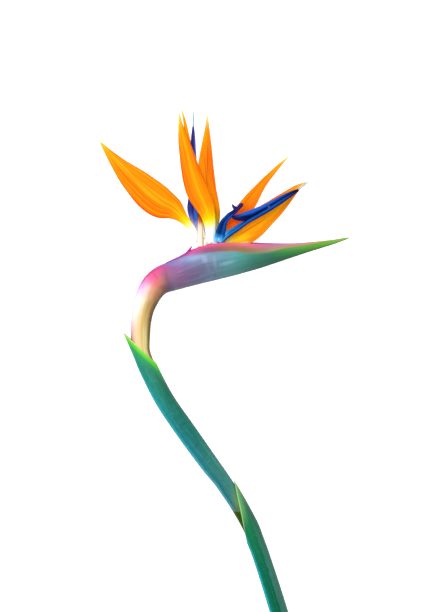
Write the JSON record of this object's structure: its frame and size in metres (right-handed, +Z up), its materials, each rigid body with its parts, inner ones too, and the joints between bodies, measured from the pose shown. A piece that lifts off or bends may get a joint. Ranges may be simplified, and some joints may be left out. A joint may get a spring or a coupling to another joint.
{
  "type": "bird of paradise flower",
  "caption": "Cut bird of paradise flower: a curved stalk in green sheaths, a beak-shaped spathe, orange sepals and blue arrow-shaped petals. It lies on its side.",
  "frame": {"origin": "middle of the flower's footprint, on the surface that it lies on", "axes": "+Y from the cut end of the stalk up to the petals, +X along the beak of the spathe, +Z up from the surface"},
  "size_m": [0.2124, 0.4776, 0.0232],
  "materials": {
    "stalk": "satin",
    "sheath": "satin",
    "spathe": "satin",
    "floret_base": "satin",
    "sepal": "satin",
    "blue_petal": "satin",
    "stigma": "matte"
  },
  "bodies": {
    "root": {"flower_stalk": "stalk", "upper_sheath": "sheath", "lower_sheath": "sheath", "spathe": "spathe", "old_floret_base": "floret_base", "old_floret_left_sepal": "sepal", "old_floret_front_sepal": "sepal", "old_floret_rear_sepal": "sepal", "old_floret_tongue": "blue_petal", "old_floret_hood": "blue_petal", "old_floret_stigma": "stigma", "new_floret_base": "floret_base", "new_floret_upright_sepal": "sepal", "new_floret_upper_sepal": "sepal", "new_floret_lower_sepal": "sepal", "new_floret_tongue": "blue_petal", "new_floret_hood": "blue_petal", "new_floret_stigma": "stigma"}
  },
  "joints": []
}
